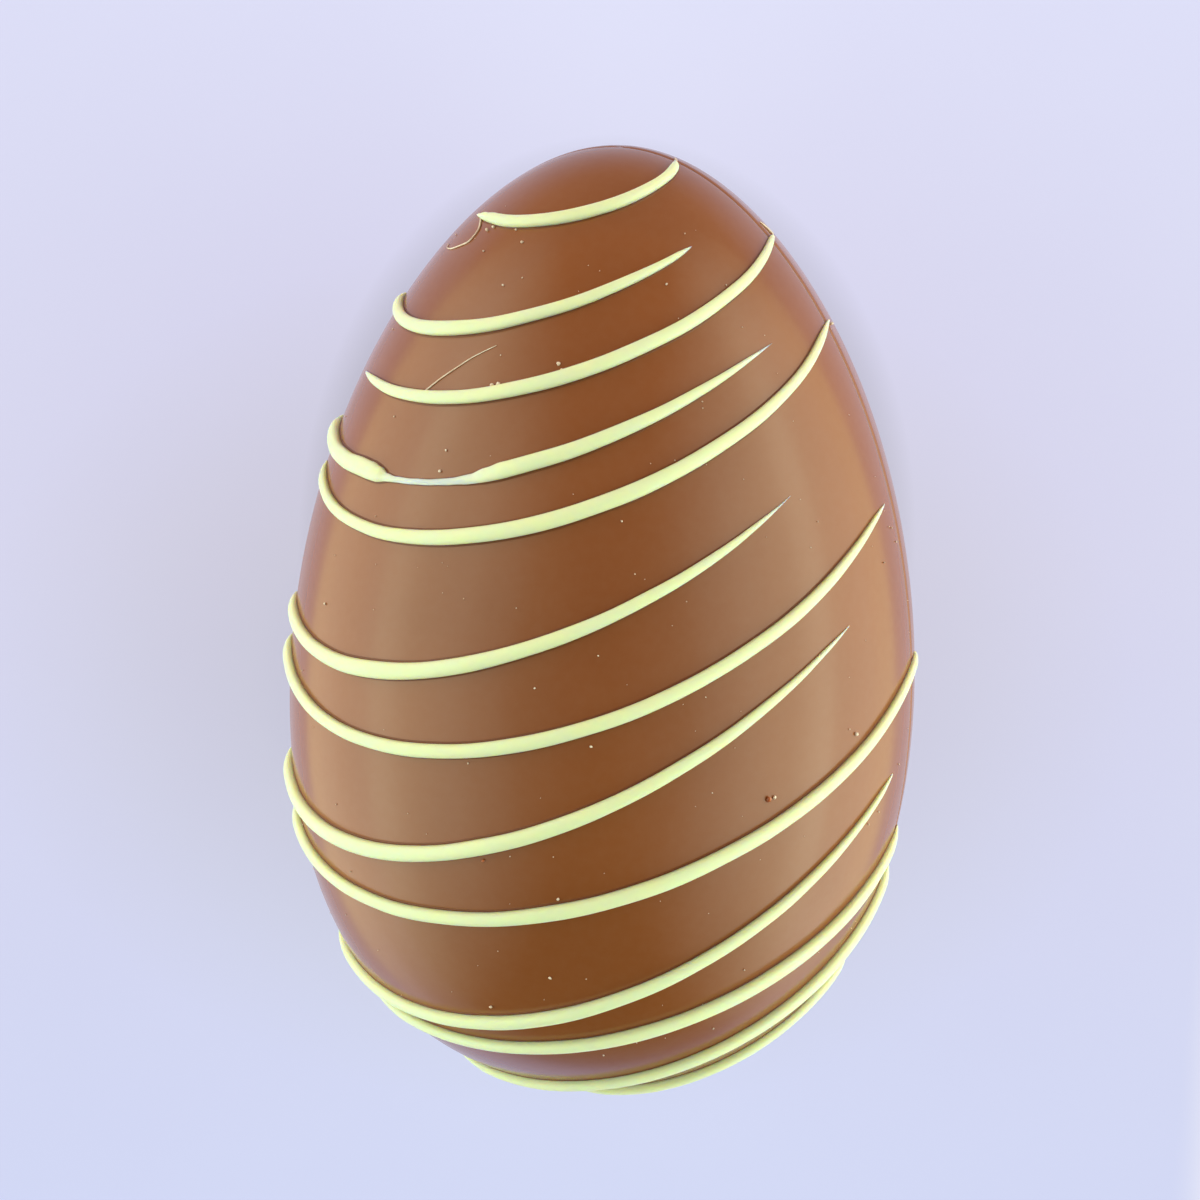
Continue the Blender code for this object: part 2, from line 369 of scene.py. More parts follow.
STRAND_KNOTS = {
    1: (
        Knot(-81, 0.50, 0.50, -0.30, 0.9),
        Knot(-74, 0.62, 0.70, -0.28, 0.3),
        Knot(-67, 0.84, 0.88, -0.14, 0.0),
        Knot(-60, 0.98, 0.98, 0.00, 0.0),
        Knot(-54, 1.00, 1.00, 0.00, 0.0),
    ),
    4: (
        Knot(-92, 1.00, 1.00, 0.10, 0.0),
        Knot(-78, 1.06, 1.00, 0.50, 0.0),
        Knot(-68, 1.16, 1.04, 0.90, 0.0),
        Knot(-60, 1.22, 1.04, 1.08, 0.0),
        Knot(-56, 1.20, 1.02, 0.95, 0.0),
        Knot(-53.2, 1.04, 0.85, 0.68, 0.1),
        Knot(-50.8, 0.56, 0.42, 0.42, 0.5),
        Knot(-48, 0.38, 0.22, 0.26, 1.0),
        Knot(-43, 0.36, 0.18, 0.06, 1.0),
        Knot(-38, 0.36, 0.16, -0.16, 1.0),
        Knot(-33, 0.42, 0.18, -0.32, 1.0),
        Knot(-29, 0.58, 0.28, -0.35, 0.8),
        Knot(-25.5, 0.82, 0.60, -0.15, 0.4),
        Knot(-22, 0.98, 0.90, -0.02, 0.1),
        Knot(-17, 1.00, 1.00, 0.00, 0.0),
    ),
    13: (
        Knot(-21, 0.72, 0.80, 0.42, 0.0),
        Knot(4, 0.90, 0.95, 0.18, 0.0),
        Knot(24, 1.00, 1.00, 0.00, 0.0),
    ),
}
EVEN = Knot(0, 1.0, 1.0, 0.0, 0.0)


def knot_at(knots, angle):
    """The knot values at an angle, eased from one knot to the next."""
    degrees = math.degrees(angle)
    if not knots or not knots[0].angle < degrees < knots[-1].angle:
        return EVEN
    after = next(i for i, knot in enumerate(knots) if knot.angle >= degrees)
    left, right = knots[after - 1], knots[after]
    share = (degrees - left.angle) / (right.angle - left.angle)
    eased = share * share * (3 - 2 * share)
    return Knot(*[a + (b - a) * eased for a, b in zip(left, right)])


# %% Tips, and the small unevenness of a hand
TIP_WIDTH = 0.07                          # of the full width
TIP_ROUNDNESS = 0.8
THIN_BELOW = 1.0 * MM                     # a narrower bead turns pale and thin
WIDTH_WAVER = 0.045
LINE_WAVER = 0.10 * MM
WAVER_LENGTH = 9.0 * MM
STRAND_STRIDE = 7.3                       # steps through the noise that keep two strands, and
LINE_STRIDE = 3.1                         # a strand's line and width, from wavering alike


def tip_share(distance, length):
    """A strand's width near an end, from a fine tip at 0 to the full width at `length`."""
    share = min(distance / length, 1.0)
    return TIP_WIDTH + (1 - TIP_WIDTH) * math.sin(share * math.pi / 2) ** TIP_ROUNDNESS


def width_at(widths, share):
    """The width at this share of the way, on a smooth curve through the even widths."""
    place = share * (len(widths) - 1)
    i = min(int(place), len(widths) - 2)
    t = place - i
    before, after = widths[max(i - 1, 0)], widths[min(i + 2, len(widths) - 1)]
    left, right = widths[i], widths[i + 1]
    bend = 2 * before - 5 * left + 4 * right - after
    twist = 3 * left - before - 3 * right + after
    return left + 0.5 * ((right - before) * t + bend * t * t + twist * t ** 3)


def end_drag(strand, angle):
    """How far the pull at the two ends drags the line along the egg, in millimetres."""
    degrees = math.degrees(angle)
    to_start = max(0.0, 1 - (degrees - strand.start) / DRAG_REACH)
    to_end = max(0.0, 1 - (strand.end - degrees) / DRAG_REACH)
    return strand.drags[0] * to_start ** 3 + strand.drags[1] * to_end ** 3


def waver(run, number, line):
    """A smooth random value from about -1 to 1 along a strand."""
    return noise.noise(Vector((run / WAVER_LENGTH, STRAND_STRIDE * number, LINE_STRIDE * line)))


# %% Stations along a strand
STATION_STEP = 0.55 * MM
FEWEST_STATIONS = 60


def strand_stations(strand, knots, number):
    """Angle, place along the axis and run of each station of a strand."""
    start, end = math.radians(strand.start), math.radians(strand.end)
    count = max(FEWEST_STATIONS, round((end - start) * ROUND_RADIUS / STATION_STEP))
    stations = []
    run = 0.0
    before = None
    for i in range(count + 1):
        angle = start + (end - start) * i / count
        drift = knot_at(knots, angle).drift + end_drag(strand, angle)
        place = plane_meets_shell(strand, angle) + drift * MM
        point = shell_point(angle, place)
        run += (point - before).length if before else 0.0
        stations.append((angle, place + LINE_WAVER * waver(run, number, 1), run))
        before = point
    return stations


def bead_width(strand, stations, length, i, number):
    """The full width of a bead at one of its stations."""
    angle, _, run = stations[i]
    sweep = math.radians(strand.end - strand.start)
    tips = tip_share(run, strand.tips[0] * MM) * tip_share(length - run, strand.tips[1] * MM)
    even = width_at(strand.widths, (angle - stations[0][0]) / sweep)
    return even * MM * tips * (1 + WIDTH_WAVER * waver(run, number, 2))


def across_at(points, i, normal):
    """The direction across a strand at one of its points."""
    ahead = points[min(i + 1, len(points) - 1)] - points[max(i - 1, 0)]
    return ahead.cross(normal).normalized()


def skin(bm, rows):
    """Close a body over rows of corners, with a face at each end."""
    for before, after in zip(rows, rows[1:]):
        for k in range(len(before)):
            following = (k + 1) % len(before)
            bm.faces.new((before[k], before[following], after[following], after[k]))
    bm.faces.new(rows[0])
    bm.faces.new(rows[-1])


# %% [markdown]
# ## Sweeping the beads
#
# At each station a section stands across the strand, and a skin over all the sections makes
# the bead. Two values ride along on the corners for the finish to read: how thin the bead
# is, and how near a corner is to the bead's edge.

# %% Sweep a bead along its strand
EDGE_FROM = 0.75                          # of the half width: where the brown shows through and the painted shade starts
EDGE_SHADE_FAINT = 0.4                          # how much of that shows on the side of the blunt end


def strand_bead(strand, number):
    """The closed bead of one strand."""
    knots = STRAND_KNOTS.get(number, ())
    stations = strand_stations(strand, knots, number)
    length = stations[-1][2]
    points = [shell_point(angle, place) for angle, place, _ in stations]
    bm = bmesh.new()
    thin_layer = bm.verts.layers.float.new("thin")
    edge_shade_layer = bm.verts.layers.float.new("edge")
    rows = []
    for i, (angle, place, _) in enumerate(stations):
        knot = knot_at(knots, angle)
        full = bead_width(strand, stations, length, i, number)
        height = (full * BEAD_HEIGHT + BEAD_SEAT * min(1.0, full / MM)) * knot.height
        normal = shell_normal(angle, place)
        across = across_at(points, i, normal)
        thin = min(1.0, max(knot.thin, 1 - full / THIN_BELOW, 0.0))
        row = []
        for side, up in bead_section(full * knot.width, height):
            corner = bm.verts.new(points[i] + across * side + normal * up)
            outward = abs(side) / (full * knot.width / 2)
            corner[thin_layer] = thin
            # the edge value: brown showing through, and painted shade on the side towards the
            # pointed end
            corner[edge_shade_layer] = max(0.0, (outward - EDGE_FROM) / (1 - EDGE_FROM))
            corner[edge_shade_layer] *= 1.0 if side < 0 else EDGE_SHADE_FAINT
            row.append(corner)
        rows.append(row)
    skin(bm, rows)
    return bm


beads = []
for number, strand in enumerate(STRANDS, start=1):
    shape = strand_bead(strand, number)
    beads.append(add_piece(
        f"piped_strand_{number:02d}", shape, [f"strand_{number:02d}"]))

# %% [markdown]
# ## Painted shade along the beads
#
# Next to each bead the shell lies in the bead's shade, so a thin dark line runs along both
# sides of every strand. That line is painted shade: a rim of deeper brown with less gloss,
# which draws the strands crisply. A painted line would need a very fine mesh for the whole
# shell. So each rim is a closed body of its own: a flat lens a little wider than the bead,
# almost wholly sunk in the shell.

# %% Painted shade: a dull brown rim along both feet of each bead
RIM_REACH = 0.26 * MM                     # how far the rim shows on either side
RIM_LIFT = 0.03 * MM
RIM_SINK = 0.12 * MM
RIM_CROWN = 0.85                          # of the half width: from here the rim slopes down
STATIONS_PER_ROW = 2


def shade_rim(bm, strand, number):
    """Add the closed, flat rim of painted shade along one strand."""
    knots = STRAND_KNOTS.get(number, ())
    stations = strand_stations(strand, knots, number)[::STATIONS_PER_ROW]
    length = stations[-1][2]
    points = [shell_point(angle, place) for angle, place, _ in stations]
    rows = []
    for i, (angle, place, _) in enumerate(stations):
        normal = shell_normal(angle, place)
        across = across_at(points, i, normal)
        half = bead_width(strand, stations, length, i, number) * knot_at(knots, angle).width / 2
        half += RIM_REACH * min(1.0, half / MM)
        rows.append([
            bm.verts.new(points[i] + across * side * half + normal * (up - SHELL_INSET))
            for side, up in ((1.0, -RIM_SINK), (1.0, 0.0), (RIM_CROWN, RIM_LIFT),
                             (-RIM_CROWN, RIM_LIFT), (-1.0, 0.0), (-1.0, -RIM_SINK))])
    skin(bm, rows)


# one body holds the rims of painted shade of all strands
rims = bmesh.new()
for number, strand in enumerate(STRANDS, start=1):
    shade_rim(rims, strand, number)
painted_shade_rims = add_piece("painted_shade_rims", rims)

# %% [markdown]
# ## Threads
#
# When the cone is lifted, the last of the chocolate pulls out into a thread as fine as a
# hair, and it falls where it will. One lies in a loop at the start of the first strand.
# Another lies alone above the third. Two short wisps end the first and the third strand.
# Each is a tube along a smooth line through a few places, thinner towards its far end.

# %% Hair-thin threads
THREAD_SIDES = 8
THREAD_THINNING = 0.55                    # share of the thickness that is lost at the far end
THREAD_LIFT = 0.35                        # height of its middle line, in radii
THREADS = {
    # (degrees round, mm along) from the thick end to the fine one, then the thickness in mm
    "thread_loop": (
        ((-72.0, 64.2), (-68.5, 63.7), (-65.2, 62.8), (-65.0, 61.2), (-69.6, 60.1),
         (-74.0, 59.4), (-78.5, 59.2), (-81.0, 59.6)), 0.30),
    "thread_stray": (
        ((-47.6, 40.9), (-44.4, 42.9), (-41.0, 44.7), (-36.7, 46.8), (-31.2, 48.8)), 0.24),
    "tail_first": (((74.5, 73.3), (80.0, 73.4), (87.0, 73.5)), 0.36),
    "tail_third": (((85.5, 62.5), (85.2, 63.2), (84.2, 63.9), (82.5, 64.5)), 0.38),
}


def smooth_line(places, steps=14):
    """Points on a smooth line through the places."""
    ends = [places[0]] + list(places) + [places[-1]]
    line = []
    for a, b, c, d in zip(ends, ends[1:], ends[2:], ends[3:]):
        for i in range(steps):
            t = i / steps
            line.append(tuple(
                0.5 * (2 * q + (r - p) * t + (2 * p - 5 * q + 4 * r - s) * t * t
                       + (3 * q - p - 3 * r + s) * t ** 3)
                for p, q, r, s in zip(a, b, c, d)))
    return line + [places[-1]]


def thread_tube(places, thickness):
    """A fine tube that lies on the shell and thins towards its far end."""
    line = smooth_line(places)
    bm = bmesh.new()
    rows = []
    for i, (degrees, along) in enumerate(line):
        angle, y = math.radians(degrees), along * MM
        share = i / (len(line) - 1)
        radius = thickness / 2 * MM * (1 - THREAD_THINNING * share ** 2)
        centre = shell_point(angle, y, radius * THREAD_LIFT)
        nearby = line[i + 1] if i + 1 < len(line) else line[i - 1]
        ahead = shell_point(math.radians(nearby[0]), nearby[1] * MM) - shell_point(angle, y)
        ahead = ahead if i + 1 < len(line) else -ahead
        up = shell_normal(angle, y)
        across = ahead.cross(up).normalized()
        rows.append([
            bm.verts.new(centre + radius * (across * math.cos(turn) + up * math.sin(turn)))
            for turn in (2 * math.pi * k / THREAD_SIDES for k in range(THREAD_SIDES))])
    skin(bm, rows)
    return bm


threads = [
    add_piece(name, thread_tube(places, thickness))
    for name, (places, thickness) in THREADS.items()]

# %% [markdown]
# ## Crumbs
#
# Piping leaves tiny crumbs and flecks behind. A crumb is a small ball of 80 faces, pushed in
# and out until it is no ball any more, and pressed a little into the shell. The larger ones
# have set places. The fine ones are strewn with a fixed seed, so that the egg is the same
# each time.

# %% Crumbs on the shell
Crumb = namedtuple("Crumb", "degrees along size")

NAMED_CRUMBS = (
    Crumb(-59.3, 63.2, 0.62), Crumb(-56.9, 63.75, 0.55), Crumb(-52.5, 60.6, 0.34),
    Crumb(-37.6, 62.7, 0.40), Crumb(-36.5, 56.8, 0.36), Crumb(-44.0, 64.1, 0.36),
    Crumb(-13.6, 47.3, 0.62), Crumb(-12.6, 46.5, 0.50), Crumb(-27.6, 43.5, 0.80),
    Crumb(-29.2, 43.4, 0.62), Crumb(-36.7, 30.5, 0.50), Crumb(-36.5, 33.5, 0.36),
    Crumb(32.1, -15.7, 0.62), Crumb(51.5, -8.6, 0.62), Crumb(-6.6, -31.0, 0.40),
    Crumb(-22.1, -51.8, 0.50), Crumb(-8.3, -44.8, 0.42), Crumb(-1.6, -6.7, 0.36),
    Crumb(15.7, 58.4, 0.40), Crumb(-62.6, 6.6, 0.42), Crumb(-11.4, 67.7, 0.50),
    Crumb(82.9, 49.3, 0.62),
)
CARAMEL_CRUMBS = (Crumb(30.9, -15.9, 0.85), Crumb(-20.3, -26.0, 0.45))
CRUMB_LIFT = 0.2                          # height of its middle, in sizes
CRUMB_STRETCH = (0.75, 1.3)
CRUMB_FLATNESS = 0.8
LUMP_DEPTH = 0.35
LUMP_LENGTH = 0.5                         # in sizes
APART = 999                               # carries two crumbs to far places in the noise


def add_crumb(bm, crumb, dice):
    """One crumb: a ball pushed out of shape and pressed into the shell."""
    angle, y = math.radians(crumb.degrees), crumb.along * MM
    ball = bmesh.ops.create_icosphere(bm, subdivisions=2, radius=crumb.size / 2 * MM)
    turn = Matrix.Rotation(dice.uniform(0, 2 * math.pi), 3, shell_normal(angle, y))
    seat = shell_point(angle, y, crumb.size * CRUMB_LIFT * MM)
    longer = dice.uniform(*CRUMB_STRETCH)
    for corner in ball["verts"]:
        spot = corner.co / (crumb.size * LUMP_LENGTH * MM) + seat * APART
        lump = 1 + LUMP_DEPTH * noise.noise(spot)
        corner.co = seat + turn @ Vector((
            corner.co.x * lump * longer, corner.co.y * lump,
            corner.co.z * lump * CRUMB_FLATNESS))


def crumb_mesh(crumbs, seed):
    """All crumbs of one kind as one mesh."""
    dice = random.Random(seed)
    bm = bmesh.new()
    for crumb in crumbs:
        add_crumb(bm, crumb, dice)
    return bm


# %% Strew the fine crumbs, and make them all
STREWN_CRUMBS = 150
STREWN_ROUND = (-88, 80)                  # degrees
STREWN_ALONG = (-62, 68)                  # millimetres
FINEST_CRUMB = 0.12                       # millimetres
CRUMB_GROWTH = 0.16                       # how much larger the largest strewn one may be


def strewn_crumbs(count, seed):
    """Fine crumbs anywhere on the upper side, most of them very small."""
    dice = random.Random(seed)
    crumbs = []
    for _ in range(count):
        size = FINEST_CRUMB + CRUMB_GROWTH * dice.random() ** 3
        crumbs.append(Crumb(dice.uniform(*STREWN_ROUND), dice.uniform(*STREWN_ALONG), size))
    return crumbs


ivory_crumbs = add_piece(
    "ivory_crumbs", crumb_mesh(list(NAMED_CRUMBS) + strewn_crumbs(STREWN_CRUMBS, 5), 3))
caramel_crumbs = add_piece("caramel_crumbs", crumb_mesh(CARAMEL_CRUMBS, 8))

# %% [markdown]
# ## A small kit for finishes
#
# A finish is a tree of nodes. Building one by hand takes many lines that say the same thing,
# so four helpers keep the recipes readable: add a node with its sockets, mix two colours,
# stretch a value from one range to another, and start a new finish.

# %% Helpers for node trees


def add_node(tree, kind, options=None, **sockets):
    """Add a node. A socket gets a plain value, or a link if it is given an output."""
    node = tree.nodes.new(kind)
    for name, value in (options or {}).items():
        setattr(node, name, value)
    for name, value in sockets.items():
        socket = node.inputs[name.replace("_", " ")]
        if isinstance(value, bpy.types.NodeSocket):
            tree.links.new(value, socket)
        else:
            socket.default_value = value
    return node


def mix_colours(tree, share, first, second):
    """A colour between two others, each of them a plain colour or an output."""
    node = tree.nodes.new("ShaderNodeMix")
    node.data_type = "RGBA"
    for index, value in ((0, share), (6, first), (7, second)):
        if isinstance(value, bpy.types.NodeSocket):
            tree.links.new(value, node.inputs[index])
        else:
            node.inputs[index].default_value = value
    return node.outputs[2]


def stretch(tree, value, low, high, new_low, new_high):
    """The value carried from one range to another, and held there."""
    node = add_node(tree, "ShaderNodeMapRange", Value=value, From_Min=low, From_Max=high,
                    To_Min=new_low, To_Max=new_high)
    return node.outputs[0]


def new_finish(name):
    """A material with an empty shader, and the egg's own coordinates in metres."""
    material = bpy.data.materials.new(name)
    material.use_nodes = True
    tree = material.node_tree
    place = add_node(tree, "ShaderNodeTexCoord").outputs["Object"]
    return material, tree, tree.nodes["Principled BSDF"], place


# %% [markdown]
# ## Milk chocolate
#
# Moulded milk chocolate takes its gloss from the mould: it is smooth, but not a mirror. Its
# brown is a little uneven, because cocoa butter sets faster here than there. Fingers and air
# dull it in soft patches, and the mould leaves pinprick pores. So four things vary: the
# colour in broad clouds and fine grain, the roughness in smears drawn along the egg, and
# the surface in pores.

# %% The milk chocolate finish
MILK_DEEP = (0.224, 0.064, 0.0180, 1.0)
MILK_PALE = (0.274, 0.085, 0.0266, 1.0)
MILK_BLOOM = (0.300, 0.140, 0.070, 1.0)

milk, tree, shader, place = new_finish("milk_chocolate")
clouds = add_node(tree, "ShaderNodeTexNoise", Vector=place, Scale=24.0, Detail=3.0).outputs[0]
grain = add_node(tree, "ShaderNodeTexNoise", Vector=place, Scale=700.0, Detail=4.0).outputs[0]
cloud_share = stretch(tree, clouds, 0.30, 0.70, 0.15, 0.85)
brown = mix_colours(tree, cloud_share, MILK_DEEP, MILK_PALE)
grain_share = stretch(tree, grain, 0.35, 0.75, 0.0, 0.10)
brown = mix_colours(tree, grain_share, brown, MILK_BLOOM)

drawn = add_node(tree, "ShaderNodeMapping", Vector=place, Scale=(90.0, 22.0, 90.0)).outputs[0]
smears = add_node(tree, "ShaderNodeTexNoise", Vector=drawn, Scale=1.0, Detail=5.0).outputs[0]
dull = stretch(tree, smears, 0.35, 0.75, 0.16, 0.24)

pores = add_node(tree, "ShaderNodeTexVoronoi", Vector=place, Scale=330.0)
pit = stretch(tree, pores.outputs["Distance"], 0.03, 0.09, 0.0, 1.0)
pit_bump = add_node(tree, "ShaderNodeBump", Height=pit, Strength=0.25, Distance=0.00003)
bumps = add_node(tree, "ShaderNodeBump", Height=grain, Strength=0.10, Distance=0.00002,
                 Normal=pit_bump.outputs[0])

tree.links.new(brown, shader.inputs["Base Color"])
tree.links.new(dull, shader.inputs["Roughness"])
tree.links.new(bumps.outputs[0], shader.inputs["Normal"])
shader.inputs["IOR"].default_value = 1.44
for piece in (upper_shell, lower_shell):
    piece.data.materials.append(milk)

# %% The rims of painted shade: a deeper brown, with less gloss
SHADE_RIM_DEEP = (0.150, 0.041, 0.0100, 1.0)
SHADE_RIM_PALE = (0.186, 0.053, 0.0140, 1.0)

shade_rim_finish, tree, shader, place = new_finish("shade_rim_chocolate")
clouds = add_node(tree, "ShaderNodeTexNoise", Vector=place, Scale=900.0, Detail=2.0).outputs[0]
tree.links.new(mix_colours(tree, clouds, SHADE_RIM_DEEP, SHADE_RIM_PALE), shader.inputs["Base Color"])
shader.inputs["Roughness"].default_value = 0.45
shader.inputs["IOR"].default_value = 1.38
painted_shade_rims.data.materials.append(shade_rim_finish)

# %% [markdown]
# ## Ivory chocolate
#
# Ivory chocolate is cocoa butter, milk and sugar, and no cocoa. It is a pale, slightly
# greenish yellow, softer in gloss than the shell, and light sinks into it. The finish reads
# the two values that the beads carry on their corners. Where a bead is dragged out thin, it
# turns whiter. At its edges, where little ivory covers the brown, it takes a touch of ochre.
# On the side towards the pointed end that ochre is stronger: there it is also painted shade.
# One tone has another reason. The side walls of the light tent below are so bright that a
# bead that faces them would burn out to plain white. So the cream is deeper where the bead
# faces sideways. That is a choice for this light, and real ivory chocolate doesn't do it.

# %% The ivory finish
IVORY = (0.785, 0.848, 0.575, 1.0)
IVORY_WARM = (0.820, 0.855, 0.545, 1.0)
IVORY_THIN = (0.850, 0.860, 0.660, 1.0)
IVORY_FLANK = (0.620, 0.705, 0.500, 1.0)
# the edge tone: brown showing through, and painted shade on the pointed end's side
IVORY_EDGE_SHADE = (0.560, 0.490, 0.190, 1.0)
FLANK_FROM = 0.45                         # how far a face turns sideways, from 0 to 1
FLANK_FULL = 0.90
EDGE_SHADE_SHARE = 0.25                         # the most that the edge tone may cover

ivory, tree, shader, place = new_finish("ivory_chocolate")
clouds = add_node(tree, "ShaderNodeTexNoise", Vector=place, Scale=160.0, Detail=3.0).outputs[0]
grain = add_node(tree, "ShaderNodeTexNoise", Vector=place, Scale=1500.0, Detail=3.0).outputs[0]
thin = add_node(tree, "ShaderNodeAttribute", {"attribute_name": "thin"}).outputs["Fac"]
cream = mix_colours(tree, stretch(tree, clouds, 0.35, 0.65, 0.0, 1.0), IVORY, IVORY_WARM)
facing = add_node(tree, "ShaderNodeTexCoord").outputs["Normal"]
aside = add_node(tree, "ShaderNodeSeparateXYZ", Vector=facing).outputs[0]
aside = add_node(tree, "ShaderNodeMath", {"operation": "ABSOLUTE"}, Value=aside).outputs[0]
flank = stretch(tree, aside, FLANK_FROM, FLANK_FULL, 0.0, 1.0)
cream = mix_colours(tree, flank, cream, IVORY_FLANK)
# the edge tone mixes brown showing through with painted shade, fainter towards the blunt end
edge = add_node(tree, "ShaderNodeAttribute", {"attribute_name": "edge"}).outputs["Fac"]
cream = mix_colours(tree, stretch(tree, edge, 0.0, 1.0, 0.0, EDGE_SHADE_SHARE), cream, IVORY_EDGE_SHADE)
cream = mix_colours(tree, thin, cream, IVORY_THIN)
bumps = add_node(tree, "ShaderNodeBump", Height=grain, Strength=0.20, Distance=0.00004)
tree.links.new(cream, shader.inputs["Base Color"])
tree.links.new(stretch(tree, clouds, 0.30, 0.70, 0.34, 0.46), shader.inputs["Roughness"])
tree.links.new(bumps.outputs[0], shader.inputs["Normal"])
shader.inputs["IOR"].default_value = 1.26
shader.inputs["Subsurface Weight"].default_value = 1.0
shader.inputs["Subsurface Radius"].default_value = (1.0, 0.80, 0.30)
shader.inputs["Subsurface Scale"].default_value = 0.0018
for piece in beads:
    piece.data.materials.append(ivory)

# %% [markdown]
# ## Where ivory is hair-thin, and a caramel crumb
#
# A thread or a crumb is so small that the brown shell shows through it, and it looks tan
# instead of ivory. See-through chocolate would be slow to render and hard to judge, so
# these pieces simply get the colour that the eye sees. Two crumbs came from somewhere else:
# they are of a glassy, orange-brown caramel. A fine mottle keeps both from looking painted.

# %% Two finishes for the smallest pieces
THIN_TAN = (0.720, 0.500, 0.360, 1.0)
THIN_PALE = (0.860, 0.740, 0.620, 1.0)
CARAMEL = (0.520, 0.130, 0.035, 1.0)
CARAMEL_DEEP = (0.300, 0.065, 0.018, 1.0)


def mottled_finish(name, first, second, scale, roughness):
    """A plain finish whose colour wanders between two tones."""
    material, tree, shader, place = new_finish(name)
    mottle = add_node(tree, "ShaderNodeTexNoise", Vector=place, Scale=scale, Detail=3.0)
    share = stretch(tree, mottle.outputs[0], 0.35, 0.65, 0.0, 1.0)
    tree.links.new(mix_colours(tree, share, first, second), shader.inputs["Base Color"])
    shader.inputs["Roughness"].default_value = roughness
    return material


thin_ivory = mottled_finish("thin_ivory", THIN_TAN, THIN_PALE, 600.0, 0.50)
for piece in threads + [ivory_crumbs]:
    piece.data.materials.append(thin_ivory)
caramel_crumbs.data.materials.append(
    mottled_finish("caramel", CARAMEL, CARAMEL_DEEP, 1200.0, 0.30))

# %% [markdown]
# ## The table
#
# The egg lies on a large, pale table, lit from above and a little from below, as a light
# table is. That is how a product picture gets such faint shadows. Near the egg it is covered
# with lavender card. To the left and the right the card ends, and the bare table is brighter.
# This matters more than it seems: the glossy sides of the egg mirror the table, and the edge
# of the card shows in them as one thin darker line. Past the two ends of the egg the glow
# fades, into blue behind the blunt end and into brown behind the pointed one, and the ends
# mirror that. Last, the egg takes a little light off the card around it. One plane can carry
# it all, if its glow depends on the place.
#
# The tables of glow here, and those of the tent below, began as the result of a fit. Many of
# their stops were then changed, until the gloss looked right, and some were not. So
# they follow no rule either. They suit this camera. From the side, the table looks patchy.

# %% Where the table glows, and how much
TABLE_HALF = 2.5                          # metres
TABLE_COLOUR = (0.235, 0.235, 0.265, 1.0)
TABLE_SHADE = (0.215, 0.215, 0.250, 1.0)
TABLE_POWER = 3.0
CARD_HALF = 0.104                         # metres that the card reaches to either side
CARD_GLOW = (0.174, 0.171, 0.234)
LEFT_GLOW = (0.72, 0.76, 0.64)
RIGHT_GLOW = (0.81, 0.87, 0.71)
SIDE_GLOW = (                             # metres to the right, and the glow there
    (-0.60, LEFT_GLOW), (-0.170, (0.66, 0.64, 0.50)), (-0.163, (0.50, 0.48, 0.38)),
    (-0.156, (0.66, 0.62, 0.47)), (-0.116, (0.50, 0.46, 0.31)), (-CARD_HALF, CARD_GLOW),
    (CARD_HALF, CARD_GLOW), (0.119, (0.49, 0.45, 0.31)), (0.182, (0.68, 0.65, 0.49)),
    (0.190, (0.52, 0.51, 0.40)), (0.198, (0.70, 0.71, 0.57)), (0.60, RIGHT_GLOW))
END_GLOW = (                              # metres towards the pointed end, and the glow there
    (-0.60, (0.01, 0.01, 0.03)), (-0.33, (0.02, 0.03, 0.10)), (-0.24, (0.13, 0.14, 0.28)),
    (-0.15, (0.165, 0.172, 0.29)), (-0.125, (0.148, 0.155, 0.234)), (0.0, CARD_GLOW),
    (0.100, (0.178, 0.176, 0.246)), (0.150, (0.170, 0.090, 0.065)), (0.22, (0.110, 0.055, 0.045)),
    (0.60, (0.05, 0.03, 0.03)))
SHADE = (                                 # on_oval's value, and the share of light left there
    (0.6, (0.86, 0.86, 0.81)), (1.0, (0.92, 0.92, 0.85)), (1.4, (0.94, 0.935, 0.88)),
    (1.9, (0.96, 0.96, 0.91)), (2.5, (0.98, 0.98, 0.95)), (3.6, (1.00, 1.00, 1.00)))

# %% Helpers for light that depends on the place


def sum_up(tree, operation, first, second=0.0):
    """One sum of two values."""
    node = tree.nodes.new("ShaderNodeMath")
    node.operation = operation
    for socket, value in zip(node.inputs, (first, second)):
        if isinstance(value, bpy.types.NodeSocket):
            tree.links.new(value, socket)
        else:
            socket.default_value = value
    return node.outputs[0]


def colour_scale(tree, value, stops, ease="LINEAR"):
    """A colour for each value, from a table of values and colours."""
    low, high = stops[0][0], stops[-1][0]
    node = add_node(tree, "ShaderNodeValToRGB", Fac=stretch(tree, value, low, high, 0, 1))
    ramp = node.color_ramp
    ramp.interpolation = ease
    for extra in stops[2:]:
        ramp.elements.new(0.5)
    for element, (at, colour) in zip(ramp.elements, stops):
        element.position = (at - low) / (high - low)
        element.color = (*colour, 1.0)
    return node.outputs[0]


def sideways(tree, aside, along):
    """0 straight towards an end of the egg, 1 straight to the side."""
    aside_squared = sum_up(tree, "MULTIPLY", aside, aside)
    along_squared = sum_up(tree, "MULTIPLY", along, along)
    level = sum_up(tree, "ADD", aside_squared, along_squared)
    return sum_up(tree, "DIVIDE", aside_squared, level)


def on_oval(tree, place, middle, half_size):
    """0 in the middle of an oval on the table, 1 on its line and more outside it."""
    total = 0.0
    for value, centre, half in zip(place, middle, half_size):
        step = sum_up(tree, "DIVIDE", sum_up(tree, "SUBTRACT", value, centre), half)
        total = sum_up(tree, "ADD", total, sum_up(tree, "MULTIPLY", step, step))
    return total


